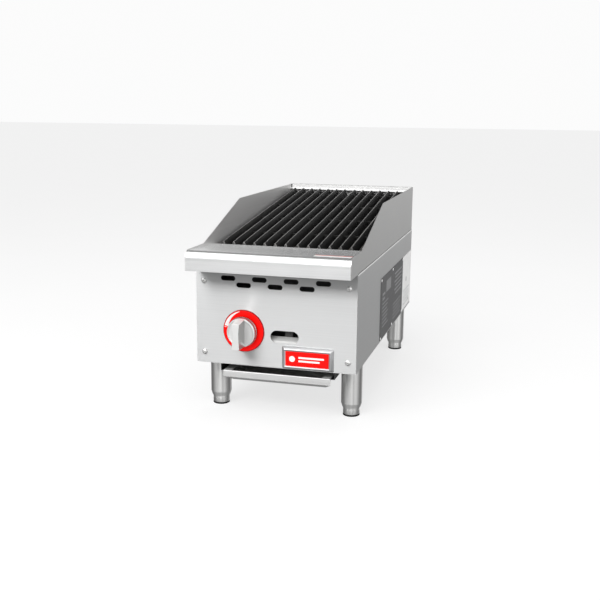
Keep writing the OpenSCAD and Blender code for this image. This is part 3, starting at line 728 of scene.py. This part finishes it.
def make_ledge_label():
    """A narrow label on the ledge's top, to the right, with a red band behind it."""
    low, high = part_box("front_ledge")
    slope = math.atan2(LEDGE_TOP_FALL, high.y - low.y - LEDGE_TOP_START)
    behind = 22 * MM
    drop = (behind - LEDGE_TOP_START) * math.tan(slope)
    spot = Vector((114 * MM, low.y + behind, high.z + 0.05 * MM - drop))
    flat = Matrix.Translation(spot) @ Matrix.Rotation(-slope, 4, "X")
    width = 66 * MM
    mesh = bmesh.new()
    slab(mesh, rounded_box(width, 15 * MM, 1 * MM), 0.2 * MM, flat)
    piece("ledge_label", mesh, "label_white", "casing", smooth=False)
    mesh = bmesh.new()
    slab(mesh, rounded_box(width, 6 * MM, 1 * MM), 0.22 * MM, flat @ Matrix.Translation((0, 10.5 * MM, 0)))
    piece("ledge_label_band", mesh, "label_red", "casing", smooth=False)


def make_seam_edges():
    """A near-white strip along the right side's seam, a painted highlight on its folded edge, and a dark
    strip above it, painted shadow in the gap.
    """
    low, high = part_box("right_side_panel")
    end = 2 * MM
    # The fold strip is a painted highlight and the gap strip a painted shadow.
    for name, look, inner, outer, bottom, top in (("seam_fold_painted_highlight", "bright_edge", -0.2, 0.35, -2.1, -0.4),
                                                  ("seam_gap_painted_shadow", "dark", -1.0, -0.7, 0.0, 0.9)):
        strip = block((high.x + inner * MM, low.y + end, high.z + bottom * MM),
                      (high.x + outer * MM, high.y - end, high.z + top * MM))
        piece(name, strip, look, "casing", smooth=False, edges=0.12 * MM)


def make_hem_gap():
    """A dark block where the rear splash's folded hem ends on the left: painted shade in the slit."""
    low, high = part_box("rear_splash")
    hem = high.y - 14.5 * MM
    slit = block((low.x + 0.1 * MM, hem - 0.4 * MM, high.z - 11 * MM),
                 (low.x + 1.9 * MM, hem + 0.3 * MM, high.z - 0.02 * MM))
    piece("hem_end_painted_shade", slit, "dark", "casing", smooth=False)


def make_tray_edge():
    """A near-white strip on the drip tray's front, where its rim is folded: a painted highlight on that
    edge.
    """
    low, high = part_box("drip_tray")
    mesh = bmesh.new()
    shape = [(low.y, high.z), (low.y - 0.35 * MM, high.z - 0.4 * MM), (low.y - 0.35 * MM, high.z - 1.5 * MM),
             (low.y, high.z - 1.9 * MM), (low.y + 0.4 * MM, high.z - 1.2 * MM)]
    prism(mesh, shape, lambda p: Vector((low.x, p[0], p[1])), lambda p: Vector((high.x, p[0], p[1])))
    piece("tray_rim_painted_highlight", mesh, "bright_edge", "drip_tray", smooth=False)


make_badge()
make_seam_edges()
make_hem_gap()
make_tray_edge()
make_plate_print()
make_side_label()
make_ledge_label()


# ---------------------------------------------------------------- feet and gas inlet
def make_foot(corner):
    """A turned foot with two fine grooves, on a rubber pad with three rings."""
    low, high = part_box("foot_" + corner)
    x, y = (low.x + high.x) / 2, (low.y + high.y) / 2
    radius = (high.x - low.x) / 2
    profile = [(0, 0.02 * MM), (radius - 1.6 * MM, 0.02 * MM), (radius - 0.3 * MM, 0.6 * MM),
               (radius, 1.4 * MM)]
    for groove in (9.0 * MM, 10.6 * MM):
        profile += [(radius, groove - 0.4 * MM), (radius - 0.35 * MM, groove - 0.15 * MM),
                    (radius - 0.35 * MM, groove + 0.15 * MM), (radius, groove + 0.4 * MM)]
    profile += [(radius, high.z - low.z - 1 * MM), (radius - 1 * MM, high.z - low.z), (0, high.z - low.z)]
    body = "foot_" + corner
    piece("screw_foot_" + corner, lathe(bmesh.new(), profile, Vector((x, y, low.z)), (0, 0, 1)),
          "foot", body, replaces=["foot_" + corner])
    low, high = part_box("pad_" + corner)
    radius = (high.x - low.x) / 2
    rings = [(0, 0.5 * MM), (5 * MM, 0.5 * MM)]
    for k in range(3):
        r = 6 * MM + 3 * MM * k
        rings += [(r, 0), (r + 1.6 * MM, 0), (r + 1.9 * MM, 0.5 * MM), (r + 2.7 * MM, 0.5 * MM)]
    rings += [(radius - 0.8 * MM, 0), (radius, 0.7 * MM), (radius, 2.3 * MM),
              (radius - 0.6 * MM, 3 * MM), (0, 3 * MM)]
    piece("foot_pad_" + corner, lathe(bmesh.new(), rings, Vector((x, y, 0)), (0, 0, 1)),
          "rubber", body, replaces=["pad_" + corner])


def make_inlet():
    """A round collar and a threaded nipple at the lower rear."""
    low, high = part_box("gas_inlet")
    centre = Vector(((low.x + high.x) / 2, low.y, (low.z + high.z) / 2))
    collar, pipe, bore = (high.x - low.x) / 2, 13.35 * MM, 10.45 * MM
    total = high.y - low.y
    thread_start = total - 18 * MM
    mesh = bmesh.new()
    profile = [(bore, 0), (collar - 1 * MM, 0), (collar, 1 * MM), (collar, thread_start - 1 * MM),
               (collar - 1.2 * MM, thread_start), (pipe - 1.2 * MM, thread_start),
               (pipe - 1.2 * MM, thread_start + 1 * MM)]
    pitch = 1.8 * MM
    turns = int((total - thread_start - 2 * MM) / pitch)
    for k in range(turns):
        at = thread_start + 1 * MM + k * pitch
        profile += [(pipe - 0.9 * MM, at + 0.2 * MM), (pipe, at + 0.8 * MM), (pipe, at + 1.0 * MM),
                    (pipe - 0.9 * MM, at + 1.6 * MM)]
    profile += [(pipe - 1.4 * MM, total), (bore + 0.4 * MM, total), (bore, total - 0.6 * MM), (bore, 0)]
    lathe(mesh, profile, centre, (0, 1, 0), 64)
    piece("inlet_nipple", mesh, "pipe", "casing", replaces=["gas_inlet"])


for corner_name in FEET:
    make_foot(corner_name)
make_inlet()


# ---------------------------------------------------------------- studio
def make_stage():
    """A wide pale floor, which shines a little so that it stays near white."""
    data = bpy.data.meshes.new("studio_floor")
    size = 30.0
    corners = [(-size, -size, 0), (size, -size, 0), (size, size, 0), (-size, size, 0)]
    data.from_pydata(corners, [], [(0, 1, 2, 3)])
    floor = bpy.data.objects.new("studio_floor", data)
    bpy.context.scene.collection.objects.link(floor)
    look = Look("pale_floor", Specular_IOR_Level=0.0)
    haze = look.noise(3.0, 2.0)
    look.shader.inputs["Emission Color"].default_value = rgb(1.0)
    look.shader.inputs["Emission Strength"].default_value = 0.68
    data.materials.append(look.finish(look.mix(haze, rgb(0.3), rgb(0.31)), look.remap(haze, 0.8, 0.9)))
    floor.visible_glossy = False


def softbox(name, spot, aim, width, height, power):
    """A flat lamp of the given size and watts, at a spot, that faces a point."""
    data = bpy.data.lights.new(name, "AREA")
    data.shape = "RECTANGLE"
    data.size, data.size_y = width, height
    data.energy = power
    lamp = bpy.data.objects.new(name, data)
    lamp.location = spot
    lamp.rotation_euler = (Vector(aim) - Vector(spot)).to_track_quat("-Z", "Y").to_euler()
    bpy.context.scene.collection.objects.link(lamp)
    return lamp


# Brightness around the room, by degrees from straight in front: positive is the cook's right.
ROOM = ((-180, 0.34), (-167, 0.28), (-157, 0.84), (-146, 0.75), (-122, 0.34), (-92, 0.3), (-70, 0.52),
        (-56, 0.8), (-43, 0.95), (-28, 0.78), (-9, 0.72), (2, 1.05), (13, 1.6), (24, 1.2), (36, 0.9),
        (48, 1.4), (62, 1.2), (84, 0.65), (112, 0.36), (130, 0.28), (150, 0.98), (168, 1.08))


def make_light():
    """A room whose brightness changes with direction, as steel shows it, and four soft lamps."""
    world = bpy.data.worlds.new("studio")
    bpy.context.scene.world = world
    world.use_nodes = True
    tree = world.node_tree
    tree.nodes.clear()

    def add(kind, **sockets):
        """A new node with its inputs filled, by name or, after an underscore, by number."""
        node = tree.nodes.new(kind)
        for name, value in sockets.items():
            socket = node.inputs[int(name[1:]) if name.startswith("_") else name]
            if isinstance(value, bpy.types.NodeSocket):
                tree.links.new(value, socket)
            else:
                socket.default_value = value
        return node

    def ramp(value, start, end, low, high):
        """Low where the value is start, high where it is end, and straight between them."""
        return add("ShaderNodeMapRange", _0=value, _1=start, _2=end, _3=low, _4=high).outputs[0]

    parts = add("ShaderNodeSeparateXYZ", Vector=add("ShaderNodeTexCoord").outputs["Generated"])
    flip = add("ShaderNodeMath", _0=parts.outputs["Y"], _1=-1.0)
    flip.operation = "MULTIPLY"
    turn = add("ShaderNodeMath", _0=parts.outputs["X"], _1=flip.outputs[0])
    turn.operation = "ARCTAN2"
    around = add("ShaderNodeValToRGB", Fac=ramp(turn.outputs[0], -math.pi, math.pi, 0.0, 1.0))
    points = around.color_ramp.elements
    while len(points) < len(ROOM):
        points.new(0.5)
    for point, (degrees, level) in zip(points, ROOM):
        point.position = (degrees + 180) / 360
        point.color = rgb(level)
    up = ramp(parts.outputs["Z"], 0.4, 0.8, 0.0, 1.0)
    down = ramp(parts.outputs["Z"], -0.4, -0.85, 0.0, 1.0)
    above = add("ShaderNodeMix")
    above.data_type = "RGBA"
    tree.links.new(up, above.inputs["Factor"])
    tree.links.new(around.outputs["Color"], above.inputs["A"])
    # Overhead it is bright towards the front and dim towards the rear.
    overhead = ramp(flip.outputs[0], -0.3, 0.8, 0.2, 1.5)
    ceiling = add("ShaderNodeCombineXYZ", X=overhead, Y=overhead, Z=overhead)
    tree.links.new(ceiling.outputs[0], above.inputs["B"])
    below = add("ShaderNodeMix")
    below.data_type = "RGBA"
    tree.links.new(down, below.inputs["Factor"])
    tree.links.new(above.outputs["Result"], below.inputs["A"])
    below.inputs["B"].default_value = rgb(0.65)
    # Low down the room is dimmer. The camera itself sees a plain near-white backdrop.
    room = add("ShaderNodeBackground", Color=below.outputs["Result"],
               Strength=ramp(parts.outputs["Z"], -0.16, 0.1, 0.38, 1.0))
    seen = add("ShaderNodeBackground", Color=rgb(1.0), Strength=0.97)
    pick = add("ShaderNodeMixShader", _0=add("ShaderNodeLightPath").outputs["Is Camera Ray"],
               _1=room.outputs[0], _2=seen.outputs[0])
    add("ShaderNodeOutputWorld", Surface=pick.outputs[0])
    # A long low lamp, 30 degrees above the front: the ledge throws its shadow on the top of the panel.
    softbox("strip_light", (-0.6, -2.3, 1.6), (0, -0.3, 0.25), 1.9, 0.7, 28)
    softbox("key_light", (-0.6, -1.1, 2.1), (0, -0.2, 0.2), 1.4, 1.2, 7)
    softbox("top_light", (0.1, 0.2, 2.4), (0, 0, 0.2), 1.4, 1.4, 10).visible_glossy = False
    softbox("fill_light", (2.2, -0.6, 1.2), (0, 0, 0.2), 1.0, 1.0, 4)


def make_camera():
    """In front, to the right and a little above, looking down at the middle of the machine."""
    data = bpy.data.cameras.new("camera")
    data.sensor_width = 36.0
    data.lens = 52.74
    data.shift_x, data.shift_y = -0.0085, -0.0035
    camera = bpy.data.objects.new("camera", data)
    bpy.context.scene.collection.objects.link(camera)
    down, roll, turn = math.radians(12.03), math.radians(0.57), math.radians(15.01)
    level = Matrix.Rotation(turn, 4, "Z") @ Matrix.Rotation(math.pi / 2 - down, 4, "X")
    aim = level @ Matrix.Rotation(roll, 4, "Z")
    camera.matrix_world = Matrix.Translation((0.4564, -1.7993, 0.565)) @ aim
    bpy.context.scene.camera = camera


make_stage()
make_light()
make_camera()
view = bpy.context.scene.view_settings
view.view_transform = "Standard"
view.look = "None"
